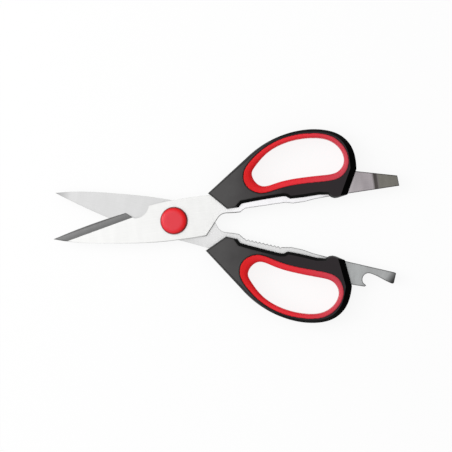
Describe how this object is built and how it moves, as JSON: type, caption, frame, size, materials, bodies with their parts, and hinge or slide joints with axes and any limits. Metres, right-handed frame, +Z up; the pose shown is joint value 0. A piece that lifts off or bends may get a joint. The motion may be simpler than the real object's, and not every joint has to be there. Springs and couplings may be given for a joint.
{
  "type": "kitchen shears",
  "caption": "Kitchen shears lying half open: steel blades on a capped pivot, loop handles with soft liners, a toothed strip, a screwdriver tip and a bottle opener.",
  "frame": {"origin": "the point where the pivot's axis meets the surface that the shears lie on, at the middle of the back cap's flat", "axes": "+X from the blades' tips to the handles, along the line that halves the angle between the two halves; +Z up along the pivot's axis; +Y to the side of the front half's handle"},
  "size_m": [0.2339, 0.1316, 0.014],
  "materials": {
    "blade_steel": "satin",
    "pivot_steel": "satin",
    "handle_plastic": "matte",
    "red_soft_grip": "satin",
    "red_cap_plastic": "gloss"
  },
  "bodies": {
    "rear_half": {"rear_blade": "blade_steel", "rear_handle": "handle_plastic", "rear_loop_liner": "red_soft_grip", "pivot_screw": "pivot_steel", "thrust_washer": "pivot_steel", "spring_washer": "pivot_steel", "pivot_nut": "pivot_steel", "front_cap": "red_cap_plastic", "back_cap": "red_cap_plastic"},
    "front_half": {"front_blade": "blade_steel", "front_handle": "handle_plastic", "front_loop_liner": "red_soft_grip"}
  },
  "joints": [
    {"name": "blade_pivot", "type": "hinge", "parent": "rear_half", "child": "front_half", "pos_m": [0, 0, 0], "axis": [0, 0, 1], "range_deg": [-20.2, 104]}
  ]
}
